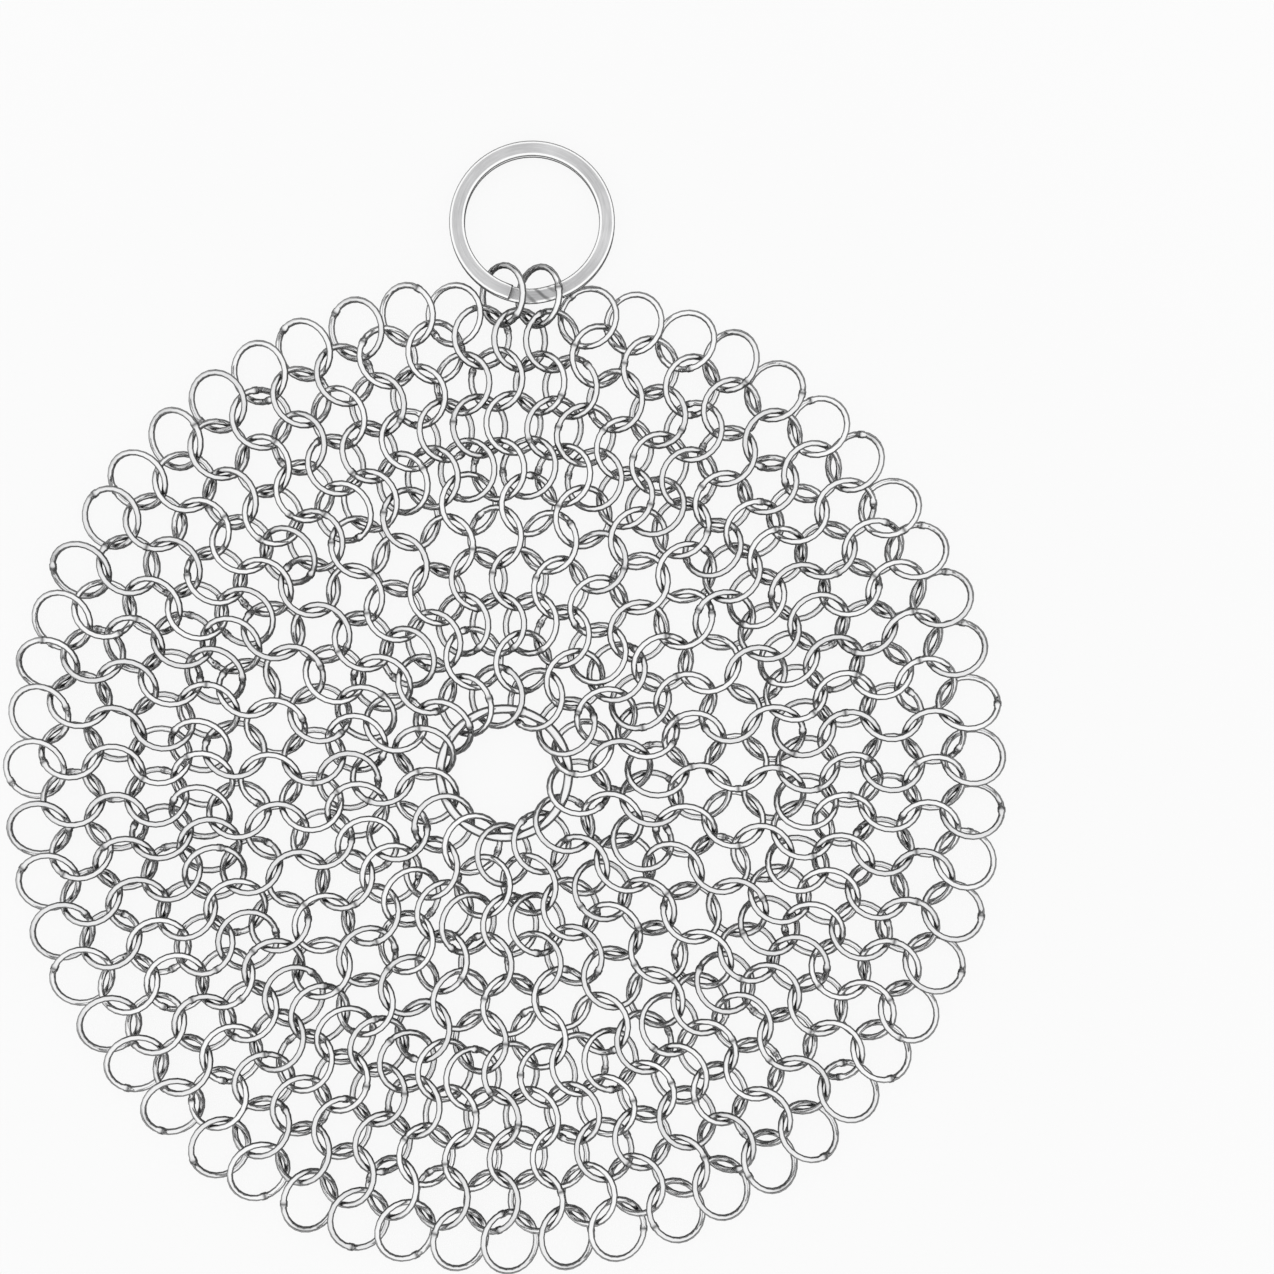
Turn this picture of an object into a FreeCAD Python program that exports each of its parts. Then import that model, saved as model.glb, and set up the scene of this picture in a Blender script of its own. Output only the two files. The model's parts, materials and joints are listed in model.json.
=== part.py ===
import FreeCAD, Part
import math
import os
import random

os.makedirs("parts", exist_ok=True)

# A round chain-mail pot scrubber that lies flat, with a split ring to hang it by.
# Lengths are in millimetres and angles in degrees.
# The origin is under the centre ring, on the surface that the mail lies on.
# +Y points to the split ring and +Z points up.

# Small rings of the mail, round wire welded shut
RING_OUTER_DIAMETER = 11.0
RING_WIRE = 1.1
RING_LEAN = 26.0

# Ring at the centre of the mail
CENTRE_RING_MEAN_DIAMETER = 21.4
CENTRE_RING_WIRE = 1.6

# Weave: how many times the first course's rings each course has, from the centre outward
COURSE_MULTIPLES = (1, 1, 2, 2, 2, 2, 4, 4, 4, 4, 4)
FIRST_COURSE_LEAN = 29.0
# The first course's distance from the centre ring and the spacing of its rings, in ring diameters
FIRST_COURSE_OUT_SHARE = 2.6 / 11
FIRST_COURSE_PITCH_SHARE = 0.543
# Where a course has twice the rings, one hangs between two inner rings and one on a single ring
SHARED_RING_PITCH_SHARE = -0.5
SINGLE_RING_PITCH_SHARE = 0.06

# Room between wires, as laid out and after the rings have been jostled
LINK_CLEARANCE = 0.34
LEAST_CLEARANCE = 0.13

# Link rings, the two rings of the outermost course that hold the split ring, in ring diameters
LINK_SPACING_SHARE = 6 / 11
LINK_LEAN = 45.0
# They swing on the course inside them, about a line this far in from their middles and below
LINK_PIN_IN_SHARE = 3.5 / 11
LINK_PIN_DROP_SHARE = 0.3 / 11
LINK_SWING = 5.0
# The rings beside them lie further in, clear of the split ring
RIM_TUCK = 1.3

# The mail is drawn together towards the split ring
DRAW_SHARE = 0.30
DRAW_WIDTH = 9.0
DRAW_OUT = 0.6
DRAW_LEAN = 8.0

# Split ring of two turns of flat wire
SPLIT_OUTER_DIAMETER = 27.6
SPLIT_WIRE_WIDTH = 2.6
SPLIT_WIRE_THICKNESS = 0.7
SPLIT_TURN_GAP = 0.42
SPLIT_OFFSET = 1.4
SPLIT_DROP = 0.05
SPLIT_SWING = 100.0
SPLIT_SWING_STEPS = 8
SPLIT_RAMP_ANGLE = 30.0
SPLIT_RAMP_STEPS = 8
SPLIT_RAMP_SIDE = 24.0

# Rows of rings on either side of a core, which roll along straight lines, in ring diameters
CORE_HALF_WIDTH_SHARE = 17 / 11
ROW_WIDTH_SHARE = 6 / 11
ROWS_PER_ZONE = 5
ZONE_EXTRA_WIDTH_SHARE = 2 / 11
ROLL_PER_ROW = 6.0

# Jostling: how far one ring may move at a time, and from where it was laid out
JOSTLE_SWEEPS = 70
JOSTLE_SEED = 7
JOSTLE_SLIDE = 0.35
JOSTLE_TURN = 3.0
STRAY_SLIDE = 1.1
STRAY_TURN = 9.0
JOSTLE_TRIES = 4

# Derived sizes
RING_RADIUS = (RING_OUTER_DIAMETER - RING_WIRE) / 2
CENTRE_RADIUS = CENTRE_RING_MEAN_DIAMETER / 2
FIRST_COURSE_RADIUS = CENTRE_RADIUS + FIRST_COURSE_OUT_SHARE * RING_OUTER_DIAMETER
FIRST_COURSE_PITCH = FIRST_COURSE_PITCH_SHARE * RING_OUTER_DIAMETER
FIRST_COURSE_COUNT = round(math.tau * FIRST_COURSE_RADIUS / FIRST_COURSE_PITCH)
COURSE_COUNTS = [FIRST_COURSE_COUNT * multiple for multiple in COURSE_MULTIPLES]
SPLIT_RADIUS = (SPLIT_OUTER_DIAMETER - SPLIT_WIRE_WIDTH) / 2
SPLIT_HEIGHT = 2 * SPLIT_WIRE_THICKNESS + SPLIT_TURN_GAP
LINK_SPACING = LINK_SPACING_SHARE * RING_OUTER_DIAMETER
LINK_PIN_IN = LINK_PIN_IN_SHARE * RING_OUTER_DIAMETER
LINK_PIN_DROP = LINK_PIN_DROP_SHARE * RING_OUTER_DIAMETER
SPLIT_DIAGONAL = math.hypot(SPLIT_WIRE_WIDTH, SPLIT_HEIGHT)
MAIL_MIDDLE = RING_RADIUS * math.sin(math.radians(RING_LEAN)) + RING_WIRE / 2

# Points round a ring where its room is measured
ROUND_POINTS = 48
ROUND = []
for point in range(ROUND_POINTS):
    angle = math.tau * point / ROUND_POINTS
    ROUND.append((math.cos(angle), math.sin(angle)))

# Shares of the ring's mean diameter between which the next course is looked for
NEAREST_COURSE_SHARE = 0.40
FURTHEST_COURSE_SHARE = 0.85
COURSE_STEPS = 90
# A ring links those of the inner course that lie within this share of their pitch
LINK_REACH_SHARE = 0.58

UP = FreeCAD.Vector(0, 0, 1)
RIGHT = FreeCAD.Vector(1, 0, 0)


class Ring:
    """A ring of round wire: its circle's middle, two directions in its plane and its axis."""

    def __init__(self, course, angle, radius, lean, tip=0.0, twist=0.0):
        self.course = course
        self.laid = (angle, radius, lean, tip, twist)
        self.row = 0
        self.near = []
        self.settled = False
        self.place(self.laid)

    def place(self, pose):
        """Put the ring at an angle clockwise from +Y, at a radius, leaning, tipped and twisted."""
        self.pose = pose
        angle, radius, lean, tip, twist = pose
        outward = FreeCAD.Vector(math.sin(angle), math.cos(angle), 0)
        facing = angle + twist
        along = FreeCAD.Vector(math.sin(facing), math.cos(facing), 0)
        across = FreeCAD.Vector(math.cos(facing), -math.sin(facing), 0)
        self.across = across * math.cos(lean) + UP * math.sin(lean)
        raised = self.across.cross(along)
        self.along = along * math.cos(tip) + raised * math.sin(tip)
        self.axis = self.across.cross(self.along)
        self.mean = RING_RADIUS
        self.wire = RING_WIRE
        slope = math.sqrt(max(1 - self.axis.z ** 2, 0))
        height = RING_RADIUS * slope + RING_WIRE / 2
        self.middle = outward * radius + UP * height

    def turned(self, pins, roll):
        """The same ring after a turn about each of some lines parallel to X, given by y and z."""
        copy = Ring.__new__(Ring)
        copy.mean = self.mean
        copy.wire = self.wire
        copy.middle = self.middle
        copy.across = self.across
        copy.along = self.along
        for y, z in pins:
            pin = FreeCAD.Vector(0, y, z)
            copy.middle = pin + tilted(copy.middle - pin, roll)
            copy.across = tilted(copy.across, roll)
            copy.along = tilted(copy.along, roll)
        copy.axis = copy.across.cross(copy.along)
        return copy


def tilted(vector, roll):
    """A vector turned about X."""
    cos = math.cos(roll)
    sin = math.sin(roll)
    return FreeCAD.Vector(vector.x, vector.y * cos - vector.z * sin, vector.y * sin + vector.z * cos)


def room(one, other):
    """The least distance between the surfaces of two rings' wires."""
    apart = one.middle - other.middle
    level = apart.dot(other.axis)
    level_cos = one.mean * one.across.dot(other.axis)
    level_sin = one.mean * one.along.dot(other.axis)
    reach = apart.dot(apart) + one.mean ** 2
    reach_cos = 2 * one.mean * apart.dot(one.across)
    reach_sin = 2 * one.mean * apart.dot(one.along)
    mean = other.mean
    least = reach
    for cos, sin in ROUND:
        height = level + level_cos * cos + level_sin * sin
        square = height * height
        flat = math.sqrt(abs(reach + reach_cos * cos + reach_sin * sin - square))
        distance = (flat - mean) ** 2 + square
        if distance < least:
            least = distance
    return math.sqrt(least) - (one.wire + other.wire) / 2


def nearest_turn(angle):
    """An angle between minus a half turn and a half turn."""
    return (angle + math.pi) % math.tau - math.pi


def course_angles():
    """The angle of every ring, course by course, with a gap of the last course at +Y."""
    courses = []
    for count in COURSE_COUNTS:
        pitch = math.tau / count
        if not courses:
            angles = [place * pitch for place in range(count)]
        elif count == len(courses[-1]):
            inner = courses[-1]
            angles = []
            for place in range(count):
                step = (inner[(place + 1) % count] - inner[place]) % math.tau
                angles.append(inner[place] + step / 2)
        else:
            inner_pitch = math.tau / len(courses[-1])
            angles = []
            for inner in courses[-1]:
                angles.append(inner + SHARED_RING_PITCH_SHARE * inner_pitch)
                angles.append(inner + SINGLE_RING_PITCH_SHARE * inner_pitch)
        courses.append(angles)
    last = courses[-1]
    gap = last[0] + nearest_turn(last[1] - last[0]) / 2
    return [[nearest_turn(angle - gap) for angle in angles] for angles in courses]


def course_lean(course, angle, share):
    """How far a ring leans: clockwise side up in one course, the other side in the next."""
    lean = FIRST_COURSE_LEAN if course == 0 else RING_LEAN
    bump = math.exp(-(angle / math.radians(DRAW_WIDTH)) ** 2)
    lean = math.radians(lean + DRAW_LEAN * bump * share ** 4)
    return lean if course % 2 == 0 else -lean


def course_radii(courses):
    """Each course lies as far out as its links to the one inside it allow."""
    radii = [FIRST_COURSE_RADIUS]
    for course in range(1, len(courses)):
        inner = courses[course - 1]
        pitch = math.tau / len(inner)
        pairs = []
        for outer_angle in courses[course][:4]:
            for inner_angle in inner:
                if abs(nearest_turn(outer_angle - inner_angle)) < LINK_REACH_SHARE * pitch:
                    pairs.append((inner_angle, outer_angle))
        best = 0.0
        roomiest = (-RING_OUTER_DIAMETER, 0.0)
        for step in range(COURSE_STEPS):
            share = step / (COURSE_STEPS - 1)
            share = NEAREST_COURSE_SHARE + (FURTHEST_COURSE_SHARE - NEAREST_COURSE_SHARE) * share
            radius = radii[-1] + share * 2 * RING_RADIUS
            tightest = RING_OUTER_DIAMETER
            for inner_angle, outer_angle in pairs:
                inner_lean = course_lean(course - 1, math.pi, 0)
                outer_lean = course_lean(course, math.pi, 0)
                held = Ring(course - 1, inner_angle, radii[-1], inner_lean)
                hung = Ring(course, outer_angle, radius, outer_lean)
                tightest = min(tightest, room(held, hung))
            roomiest = max(roomiest, (tightest, radius))
            if tightest >= LINK_CLEARANCE:
                best = radius
            elif best:
                break
        radii.append(best or roomiest[1])
    return radii


def lay_out():
    """Every ring of the mail where the weave puts it, drawn together towards the split ring."""
    courses = course_angles()
    radii = course_radii(courses)
    width = math.radians(DRAW_WIDTH)
    by_nearness = sorted(courses[-1], key=abs)
    link_angles = by_nearness[:2]
    beside_angles = by_nearness[2:4]
    rings = []
    links = []
    for course, angles in enumerate(courses):
        share = radii[course] / radii[-1]
        outermost = course == len(courses) - 1
        for angle in angles:
            evenly = angle * width / math.pi * math.tanh(math.pi / width)
            drawn = DRAW_SHARE * share ** 2 * (width * math.tanh(angle / width) - evenly)
            bump = math.exp(-(angle / width) ** 2)
            radius = radii[course] + DRAW_OUT * bump * share ** 4
            if outermost and angle in link_angles:
                side = math.copysign(LINK_SPACING / 2, angle)
                ring = Ring(course, math.asin(side / radius), radius, math.radians(LINK_LEAN))
                links.append(ring)
            else:
                if outermost and angle in beside_angles:
                    radius = radius - RIM_TUCK
                ring = Ring(course, angle - drawn, radius, course_lean(course, angle, share))
            rings.append(ring)
    return rings, links, radii


def fold_lines():
    """Distances from the centre of the lines that the rows roll about."""
    lines = []
    for row in range(2 * ROWS_PER_ZONE):
        share = CORE_HALF_WIDTH_SHARE + row * ROW_WIDTH_SHARE
        if row >= ROWS_PER_ZONE:
            share = share + ZONE_EXTRA_WIDTH_SHARE
        lines.append(share * RING_OUTER_DIAMETER)
    return lines


def pins_between(one, other):
    """The lines that lie between two rings' rows, from the outermost inward."""
    rows = sorted((one.row, other.row), key=abs)
    if one.row * other.row < 0:
        return []
    side = 1 if one.row + other.row > 0 else -1
    pins = [(side * LINES[row], MAIL_MIDDLE) for row in range(abs(rows[0]), abs(rows[1]))]
    return list(reversed(pins))


def rooms(ring):
    """The room between a ring and each one near it, flat and with their rows rolled either way."""
    for other, pins in ring.near:
        yield room(ring, other)
        if pins:
            inner, outer = sorted((ring, other), key=lambda each: abs(each.row))
            for roll in (ROLL, -ROLL):
                yield room(outer.turned(pins, roll), inner)


def has_room(ring, least):
    """Whether a ring has at least this much room on every side."""
    return all(space >= least for space in rooms(ring))


def strays(ring, pose):
    """Whether a pose is further from where the ring was laid out than it may be."""
    slide = abs(nearest_turn(pose[0] - ring.laid[0])) * pose[1]
    slide = max(slide, abs(pose[1] - ring.laid[1]))
    turn = max(abs(new - old) for new, old in zip(pose[2:], ring.laid[2:]))
    return slide > STRAY_SLIDE or turn > math.radians(STRAY_TURN)


def jostle(rings):
    """Move rings at random, keeping each move that leaves room, as when the mail is shaken out."""
    draw = random.Random(JOSTLE_SEED)
    turn = math.radians(JOSTLE_TURN)
    for sweep in range(JOSTLE_SWEEPS):
        for ring in rings:
            least = LEAST_CLEARANCE
            if not ring.settled:
                least = min(min(rooms(ring)), LEAST_CLEARANCE)
                ring.settled = least == LEAST_CLEARANCE
            for attempt in range(1 if ring.settled else JOSTLE_TRIES):
                old = ring.pose
                slides = [draw.uniform(-JOSTLE_SLIDE, JOSTLE_SLIDE) for way in range(2)]
                turns = [draw.uniform(-turn, turn) for way in range(3)]
                pose = [old[0] + slides[0] / old[1], old[1] + slides[1]]
                pose = pose + [before + change for before, change in zip(old[2:], turns)]
                if strays(ring, pose):
                    continue
                ring.place(pose)
                if not has_room(ring, least):
                    ring.place(old)
                elif not ring.settled:
                    for other, pins in ring.near:
                        other.settled = False


def round_ring(ring):
    """The solid of a ring of round wire."""
    return Part.makeTorus(ring.mean, ring.wire / 2, ring.middle, ring.axis)


def big_circle(middle, axis, across, mean, wire):
    """A ring that isn't part of the weave."""
    ring = Ring.__new__(Ring)
    ring.middle = middle
    ring.axis = axis
    ring.across = across
    ring.along = axis.cross(across)
    ring.mean = mean
    ring.wire = wire
    ring.row = 0
    return ring


def arc_of_flat_wire(start, end, bottom):
    """Part of a level turn of the split ring's wire, between two angles about its axis."""
    sweep = end - start
    foot = FreeCAD.Vector(0, 0, bottom)
    outside = Part.makeCylinder(SPLIT_OUTER_DIAMETER / 2, SPLIT_WIRE_THICKNESS, foot, UP, sweep)
    bore = SPLIT_OUTER_DIAMETER / 2 - SPLIT_WIRE_WIDTH
    inside = Part.makeCylinder(bore, SPLIT_WIRE_THICKNESS, foot, UP)
    turn = outside.cut(inside)
    turn.rotate(FreeCAD.Vector(0, 0, 0), UP, start)
    return turn


def wire_section(angle, bottom):
    """The outline of the split ring's wire at one angle about its axis."""
    outward = FreeCAD.Vector(math.cos(math.radians(angle)), math.sin(math.radians(angle)), 0)
    inner = outward * (SPLIT_OUTER_DIAMETER / 2 - SPLIT_WIRE_WIDTH)
    outer = outward * (SPLIT_OUTER_DIAMETER / 2)
    low = UP * bottom
    high = UP * (bottom + SPLIT_WIRE_THICKNESS)
    return Part.makePolygon([inner + low, outer + low, outer + high, inner + high, inner + low])


def split_ring():
    """Two level turns of flat wire, one over the other, joined by a ramp."""
    rise = SPLIT_WIRE_THICKNESS + SPLIT_TURN_GAP
    level = 360.0 - SPLIT_RAMP_ANGLE
    low = -SPLIT_HEIGHT / 2
    lower = arc_of_flat_wire(0, level, low)
    upper = arc_of_flat_wire(0, level, low + rise)
    sections = []
    for step in range(SPLIT_RAMP_STEPS + 1):
        share = step / SPLIT_RAMP_STEPS
        ease_share = share * share * (3 - 2 * share)
        sections.append(wire_section(level + SPLIT_RAMP_ANGLE * share, low + rise * ease_share))
    ramp = Part.makeLoft(sections, True, True)
    ring = lower.fuse([ramp, upper]).removeSplitter()
    ring.rotate(FreeCAD.Vector(0, 0, 0), UP, -90 + SPLIT_RAMP_SIDE)
    return ring


def save(shapes, node):
    """Write one node, a single solid or a group of separate solids."""
    shape = shapes[0] if len(shapes) == 1 else Part.makeCompound(shapes)
    shape.exportStep("parts/" + node + ".step")


LINES = fold_lines()
ROLL = math.radians(ROLL_PER_ROW)
rings, links, radii = lay_out()
for ring in rings:
    passed = sum(1 for line in LINES if abs(ring.middle.y) >= line)
    ring.row = passed if ring.middle.y > 0 else -passed

# The link rings move with the rings of the next course that hold them
holders = [ring for ring in rings if ring.course == len(COURSE_COUNTS) - 2]
holder_row = min(holders, key=lambda ring: abs(ring.pose[0])).row
for ring in links:
    ring.row = holder_row
link_pin = (links[0].middle.y - LINK_PIN_IN, links[0].middle.z - LINK_PIN_DROP)

# The centre ring lies through the first course
centre_middle = UP * rings[0].middle.z
centre_ring = big_circle(centre_middle, UP, RIGHT, CENTRE_RADIUS, CENTRE_RING_WIRE)

# The split ring lies through both link rings, with its far side down on the surface
split_pin = (links[0].middle.y, links[0].middle.z - SPLIT_DROP)
split_far = 2 * SPLIT_RADIUS + SPLIT_WIRE_WIDTH / 2
split_tilt = math.asin(split_pin[1] / math.hypot(split_far, SPLIT_HEIGHT / 2))
split_tilt = split_tilt - math.atan2(SPLIT_HEIGHT / 2, split_far)
split_away = FreeCAD.Vector(0, math.cos(split_tilt), -math.sin(split_tilt))
split_middle = FreeCAD.Vector(SPLIT_OFFSET, *split_pin) + split_away * SPLIT_RADIUS
split_axis = RIGHT.cross(split_away)
split_circle = big_circle(split_middle, split_axis, RIGHT, SPLIT_RADIUS, SPLIT_DIAGONAL)
split_poses = []
for step in range(SPLIT_SWING_STEPS + 1):
    swing = math.radians(SPLIT_SWING) * step / SPLIT_SWING_STEPS
    split_poses.append(split_circle.turned([split_pin], swing))
for swing in (math.radians(LINK_SWING), -math.radians(LINK_SWING)):
    split_poses.append(split_circle.turned([link_pin], swing))

# Each ring's neighbours, with the lines that they roll about and the places that they swing to
reach = RING_OUTER_DIAMETER + 2 * STRAY_SLIDE
for one in rings:
    for other in rings:
        if other is one or one.middle.distanceToPoint(other.middle) > reach:
            continue
        one.near.append((other, pins_between(one, other)))
        if other in links:
            for swing in (math.radians(LINK_SWING), -math.radians(LINK_SWING)):
                one.near.append((other.turned([link_pin], swing), []))
    if one.course == 0:
        one.near.append((centre_ring, []))
    if one.middle.distanceToPoint(split_middle) < SPLIT_RADIUS + reach:
        one.near.extend((pose, []) for pose in split_poses)

loose = [ring for ring in rings if ring not in links]
jostle(loose)

tight = [min(rooms(ring)) for ring in loose]
short = sum(1 for space in tight if space < LEAST_CLEARANCE)
print("rings", len(rings), "courses at", ["%.2f" % radius for radius in radii])
print("disc diameter %.1f" % (2 * (radii[-1] + RING_OUTER_DIAMETER / 2)))
print("least room between wires %.3f" % min(tight), "rings with less than planned", short)
print("rows roll at y", LINES, "z %.4f" % MAIL_MIDDLE)
print("link rings", [tuple(ring.middle) for ring in links], "row", holder_row)
print("link rings swing at y z", link_pin, "split ring at", split_pin, "centre", tuple(split_middle))
print("centre ring at z %.4f" % centre_middle.z, "tilt of the split ring %.3f" % math.degrees(split_tilt))

save([round_ring(ring) for ring in loose if ring.row == 0], "mail_core")
for row in range(1, len(LINES) + 1):
    for name, side in (("upper", 1), ("lower", -1)):
        solids = [round_ring(ring) for ring in loose if ring.row == side * row]
        save(solids, "mail_%s_row_%02d" % (name, row))
for ring in links:
    side = "left" if ring.middle.x < 0 else "right"
    save([round_ring(ring)], "link_ring_" + side)
save([round_ring(centre_ring)], "centre_ring")

hang = split_ring()
hang.rotate(FreeCAD.Vector(0, 0, 0), RIGHT, -math.degrees(split_tilt))
hang.translate(split_middle)
save([hang], "hang_ring")
print("turns of the split ring lie %.2f apart" % SPLIT_TURN_GAP, "valid", hang.isValid())
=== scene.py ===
import json
import math
import random

import bpy
import numpy as np
from mathutils import Matrix, Vector


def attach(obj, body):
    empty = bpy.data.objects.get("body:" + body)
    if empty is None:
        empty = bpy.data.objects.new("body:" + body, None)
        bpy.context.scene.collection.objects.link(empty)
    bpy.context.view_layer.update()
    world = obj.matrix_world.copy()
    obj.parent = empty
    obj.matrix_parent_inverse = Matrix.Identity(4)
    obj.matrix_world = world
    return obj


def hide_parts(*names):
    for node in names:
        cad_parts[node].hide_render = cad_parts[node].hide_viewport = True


bl_info = {
    "name": "Chain-mail pot scrubber",
    "version": (1, 0, 0),
    "blender": (4, 5, 0),
    "location": "View3D > Sidebar > Scrubber",
    "description": "Dresses the packed frame of a round chain-mail pot scrubber with a split ring",
    "category": "Add Mesh",
}

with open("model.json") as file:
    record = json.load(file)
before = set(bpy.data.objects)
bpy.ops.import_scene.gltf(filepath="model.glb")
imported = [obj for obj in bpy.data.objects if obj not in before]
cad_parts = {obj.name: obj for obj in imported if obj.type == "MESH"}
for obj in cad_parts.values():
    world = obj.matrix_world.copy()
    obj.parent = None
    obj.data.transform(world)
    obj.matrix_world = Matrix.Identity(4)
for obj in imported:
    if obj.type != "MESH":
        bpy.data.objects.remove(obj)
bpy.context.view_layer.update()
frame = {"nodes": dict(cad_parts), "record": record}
BODY_OF_NODE = {
    node: body
    for body, nodes in frame["record"]["behaviour"]["bodies"].items()
    for node in nodes
}

# The photograph's frame is square, and this many picture points wide
FRAME_POINTS = 1274
PIECE_SEED = 5

# Points round the wire of a ring
WIRE_SIDES = 8
# Sections of a weld, and the share of it that has its full thickness
WELD_SECTIONS = 4
WELD_TOP_SHARE = 0.7
# Tries to find a weld a free place, and how many ring diameters away a neighbour may lie
WELD_TRIES = 24
NEAR_DIAMETERS = 1.2
CENTRE_WELD_TURN = math.radians(77)

# Sections of the split ring's rounded edges, and the angle up to which faces join smoothly
EDGE_SECTIONS = 4
SMOOTH_ANGLE = math.radians(40)
# The painted shade mark of the split ring's cut ends, well past the 1 of its walls, so that the cut
# is dark almost from where it starts
CUT_SHADE = 4.0
# Lengths of the split ring's UV map to a metre
UV_SCALE = 100

# What polished steel mirrors low down and overhead
MIRRORED_LOW = (0.02, 0.02, 0.0205)
MIRRORED_HIGH = (1.05, 1.05, 1.05)
WHITE = (1, 1, 1)
# How much lighter than its darkest tone the floor gets
FLOOR_GRAIN = 1.01

# The camera's sensor in millimetres, and its range
SENSOR_WIDTH = 36.0
CLIP_RANGE = (0.01, 50.0)

# The grid on which a material's nodes are laid out
NODE_STEP = 220
NODES_PER_COLUMN = 6


# Sizes and colours


class MailRingSizes(bpy.types.PropertyGroup):
    """Sizes of the small rings and of their welds."""

    ring_diameter: bpy.props.FloatProperty(
        name="Ring diameter", description="Outside diameter of a small ring",
        default=0.011, min=0.001, unit="LENGTH", subtype="DISTANCE")
    wire: bpy.props.FloatProperty(
        name="Wire", description="Diameter of the small rings' wire",
        default=0.0011, min=0.0001, unit="LENGTH", subtype="DISTANCE")
    around: bpy.props.IntProperty(
        name="Around", description="Sections round a small ring",
        default=24, min=8)
    weld_length: bpy.props.FloatProperty(
        name="Weld length", description="Length of the bead where a ring is welded shut",
        default=0.00125, min=0.0001, unit="LENGTH", subtype="DISTANCE")
    weld_thickness: bpy.props.FloatProperty(
        name="Weld thickness", description="Thickness of the bead where a ring is welded shut",
        default=0.00136, min=0.0001, unit="LENGTH", subtype="DISTANCE")
    weld_room: bpy.props.FloatProperty(
        name="Weld room", description="Least distance from a weld to another ring's wire line",
        default=0.0019, min=0.0, unit="LENGTH", subtype="DISTANCE")
    weld_tint: bpy.props.FloatProperty(
        name="Weld tint", description="Angle round the ring over which the weld's tint fades",
        default=math.radians(3.6), subtype="ANGLE")
    # Reach of the painted shade where another ring crosses a wire
    crossing: bpy.props.FloatProperty(
        name="Crossing", description="Reach of the dull mark where another ring crosses",
        default=0.0011, min=0.0, unit="LENGTH", subtype="DISTANCE")


class CentreRingSizes(bpy.types.PropertyGroup):
    """Sizes of the ring at the middle of the mail."""

    mean_diameter: bpy.props.FloatProperty(
        name="Mean diameter", description="Diameter of the line along the middle of its wire",
        default=0.0214, min=0.001, unit="LENGTH", subtype="DISTANCE")
    wire: bpy.props.FloatProperty(
        name="Wire", description="Diameter of its wire",
        default=0.0016, min=0.0001, unit="LENGTH", subtype="DISTANCE")
    around: bpy.props.IntProperty(
        name="Around", description="Sections round the ring",
        default=64, min=8)


class SplitRingSizes(bpy.types.PropertyGroup):
    """Sizes of the split ring that the scrubber hangs by."""

    outer_diameter: bpy.props.FloatProperty(
        name="Outer diameter", description="Outside diameter of the split ring",
        default=0.0276, min=0.001, unit="LENGTH", subtype="DISTANCE")
    width: bpy.props.FloatProperty(
        name="Width", description="Width of its flat wire, from the hole outward",
        default=0.0026, min=0.0001, unit="LENGTH", subtype="DISTANCE")
    thickness: bpy.props.FloatProperty(
        name="Thickness", description="Thickness of its flat wire",
        default=0.0007, min=0.0001, unit="LENGTH", subtype="DISTANCE")
    gap: bpy.props.FloatProperty(
        name="Gap", description="Gap between its two turns",
        default=0.00042, min=0.0, unit="LENGTH", subtype="DISTANCE")
    ramp: bpy.props.FloatProperty(
        name="Ramp", description="Angle over which the wire climbs to its second turn",
        default=math.radians(30), subtype="ANGLE")
    ramp_end: bpy.props.FloatProperty(
        name="Ramp end", description="Angle from straight down to where the ramp ends",
        default=math.radians(24), subtype="ANGLE")
    end_short: bpy.props.FloatProperty(
        name="End short", description="Angle by which the second turn stops short of the ramp",
        default=math.radians(8), subtype="ANGLE")
    edge: bpy.props.FloatProperty(
        name="Edge", description="Depth of the rounding of the flat wire's edges",
        default=0.00026, min=0.0, unit="LENGTH", subtype="DISTANCE")
    edge_width: bpy.props.FloatProperty(
        name="Edge width", description="Width of the rounding of the flat wire's edges",
        default=0.00052, min=0.0, unit="LENGTH", subtype="DISTANCE")
    step: bpy.props.FloatProperty(
        name="Step", description="Angle between sections along the wire",
        default=math.radians(5), subtype="ANGLE")
    middle: bpy.props.FloatVectorProperty(
        name="Middle", description="Where the middle of the split ring lies",
        default=(0.0014, 0.09191395, 0.00252845), size=3, unit="LENGTH", subtype="TRANSLATION")
    tilt: bpy.props.FloatProperty(
        name="Tilt", description="How far the split ring leans on the link rings",
        default=math.radians(6.762), subtype="ANGLE")


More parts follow.
